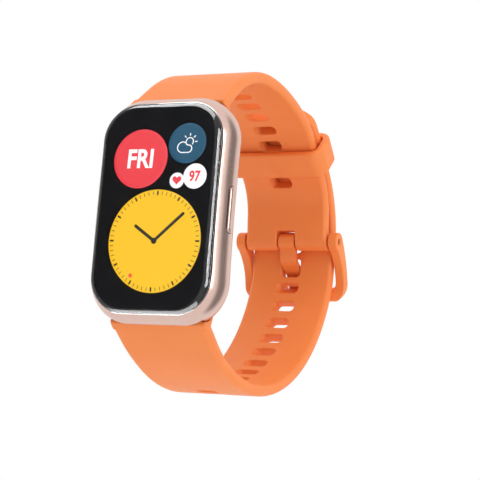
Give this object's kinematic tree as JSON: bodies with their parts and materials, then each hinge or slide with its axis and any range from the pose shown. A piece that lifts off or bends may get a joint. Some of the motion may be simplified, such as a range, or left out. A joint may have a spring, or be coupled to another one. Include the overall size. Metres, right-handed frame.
{
  "type": "gps running watch",
  "caption": "Rectangular fitness watch with a rounded metal case, curved-edge glass, side button and a buckled silicone strap with slots, keeper and tang buckle.",
  "frame": {"origin": "centre of the wrist opening inside the buckled strap", "axes": "-Y out of the screen, +Z towards twelve o'clock, +X towards the side button"},
  "size_m": [0.0304, 0.0752, 0.0684],
  "materials": {
    "rose_gold_case": "fine bead-blasted and anodised, rose gold",
    "button_metal": "fine bead-blasted and anodised, rose gold",
    "cover_glass": "polished, with curved edges",
    "adhesive": "matte foam tape",
    "display": "lit colour display on a black panel",
    "flex": "amber film with copper tracks",
    "inner_plastic": "moulded, fine grain",
    "steel": "fine turned",
    "battery_pouch": "silver foil pouch",
    "circuit_board": "green solder mask",
    "shield_tin": "tin plate",
    "antenna": "copper on plastic",
    "rear_plastic": "moulded, fine grain",
    "seal_rubber": "matte",
    "sensor_glass": "dark polished window",
    "gold_contact": "gold plate",
    "strap_silicone": "soft-touch moulded silicone, orange",
    "buckle_plastic": "moulded, satin, orange to match the strap"
  },
  "bodies": {
    "watch": {"case_frame": "rose_gold_case", "cover_glass": "cover_glass", "glass_adhesive": "adhesive", "display_panel": "display", "display_flex": "flex", "inner_chassis": "inner_plastic", "chassis_screws": "steel", "battery": "battery_pouch", "main_board": "circuit_board", "shield_cans": "shield_tin", "gps_antenna": "antenna", "vibration_motor": "steel", "rear_cover": "rear_plastic", "rear_cover_seal": "seal_rubber", "sensor_window": "sensor_glass", "sensor_board": "circuit_board", "charging_contacts": "gold_contact", "button_seal": "seal_rubber", "button_switch": "inner_plastic", "strap_upper": "strap_silicone", "strap_lower": "strap_silicone", "buckle_pin": "steel", "upper_bar_tube": "steel", "upper_fixed_pin": "steel", "upper_release_spring": "steel", "lower_bar_tube": "steel", "lower_fixed_pin": "steel", "lower_release_spring": "steel"},
    "side_button": {"side_button": "button_metal", "button_clip": "steel"},
    "upper_release": {"upper_release_pin": "steel"},
    "lower_release": {"lower_release_pin": "steel"},
    "buckle_frame": {"buckle_frame": "buckle_plastic"},
    "buckle_tang": {"buckle_tang": "buckle_plastic"},
    "keeper": {"keeper_loop": "strap_silicone"}
  },
  "joints": [
    {"name": "button_press", "type": "slide", "parent": "watch", "child": "side_button", "axis": [-1, 0, 0], "range_m": [0, 0.0004], "stiffness_N_per_m": 2000, "springref_m": -0.0003},
    {"name": "upper_release_slide", "type": "slide", "parent": "watch", "child": "upper_release", "axis": [-1, 0, 0], "range_m": [0, 0.0012], "stiffness_N_per_m": 300, "springref_m": -0.001, "deforming": ["upper_release_spring"]},
    {"name": "lower_release_slide", "type": "slide", "parent": "watch", "child": "lower_release", "axis": [-1, 0, 0], "range_m": [0, 0.0012], "stiffness_N_per_m": 300, "springref_m": -0.001, "deforming": ["lower_release_spring"]},
    {"name": "buckle_swing", "type": "hinge", "parent": "watch", "child": "buckle_frame", "pos_m": [0, 0.0278, 0.0047], "axis": [1, 0, 0], "range_deg": [0, 5]},
    {"name": "tang_lift", "type": "hinge", "parent": "buckle_frame", "child": "buckle_tang", "pos_m": [0, 0.0278, 0.0047], "axis": [1, 0, 0], "range_deg": [0, 3]},
    {"name": "keeper_slide", "type": "slide", "parent": "watch", "child": "keeper", "axis": [0, 0.7193, -0.6947], "range_m": [-0.0022, 0.0022]}
  ]
}
